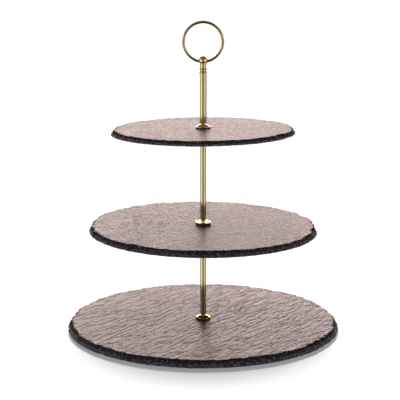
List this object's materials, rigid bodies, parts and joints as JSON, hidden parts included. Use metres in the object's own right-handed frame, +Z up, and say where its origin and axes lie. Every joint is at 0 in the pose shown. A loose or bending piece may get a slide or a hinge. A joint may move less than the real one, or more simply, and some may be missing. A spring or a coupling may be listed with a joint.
{
  "type": "tiered cake stand",
  "caption": "Tiered serving stand: round riven slate discs with chipped edges on slim turned brass pillars, with a ring handle on top.",
  "frame": {"origin": "centre of the stand at the level of the feet's undersides, where it meets the table", "axes": "+Z up along the pillars, +X to the right along the ring handle's hinge, -Y towards the viewer, so the ring faces Y"},
  "size_m": [0.3, 0.3, 0.3401],
  "materials": {
    "slate": "riven natural slate with hand-chipped edges",
    "brass": "polished, lacquered",
    "rubber": "matt black",
    "steel": "zinc plated"
  },
  "bodies": {
    "stand": {"base_disc": "slate", "middle_disc": "slate", "top_disc": "slate", "foot_front_left": "rubber", "foot_front_right": "rubber", "foot_rear_left": "rubber", "foot_rear_right": "rubber", "base_screw": "brass", "base_under_washer": "brass", "base_under_seal": "rubber", "base_upper_seal": "rubber", "base_bell_washer": "brass", "lower_pillar": "brass", "middle_stud": "steel", "middle_under_washer": "brass", "middle_under_seal": "rubber", "middle_upper_seal": "rubber", "middle_flat_washer": "brass", "middle_pillar": "brass", "top_stud": "steel", "top_under_washer": "brass", "top_under_seal": "rubber", "top_upper_seal": "rubber", "top_bell_washer": "brass", "handle_pillar": "brass", "finial": "brass"},
    "ring": {"ring_handle": "brass"}
  },
  "joints": [
    {"name": "ring_swing", "type": "hinge", "parent": "stand", "child": "ring", "pos_m": [0, 0, 0.2967], "axis": [1, 0, 0], "range_deg": [-172, 172]}
  ]
}
